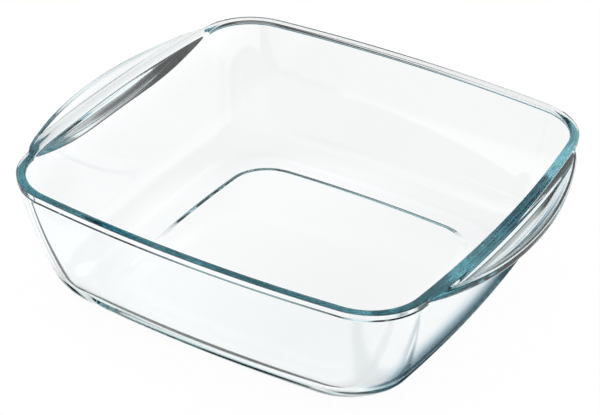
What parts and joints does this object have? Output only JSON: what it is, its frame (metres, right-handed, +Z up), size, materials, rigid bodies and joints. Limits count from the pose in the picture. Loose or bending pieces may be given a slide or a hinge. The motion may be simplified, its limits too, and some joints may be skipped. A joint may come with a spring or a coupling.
{
  "type": "square baking dish",
  "caption": "Square baking dish of clear pressed glass with leaning sides, round corners, a beaded rim and a solid crescent handle on the left and the right.",
  "frame": {"origin": "middle of the foot, on the surface that the dish stands on", "axes": "+X to the right through the handles, +Y to the back, +Z up"},
  "size_m": [0.2464, 0.22, 0.067],
  "materials": {
    "clear_glass": "clear polished pressed glass with a faint blue-green tint in its edges"
  },
  "bodies": {
    "root": {"floor": "clear_glass", "front_left_corner": "clear_glass", "front_wall": "clear_glass", "front_right_corner": "clear_glass", "left_wall": "clear_glass", "right_wall": "clear_glass", "back_left_corner": "clear_glass", "back_wall": "clear_glass", "back_right_corner": "clear_glass", "rim": "clear_glass", "left_handle": "clear_glass", "right_handle": "clear_glass"}
  },
  "joints": []
}
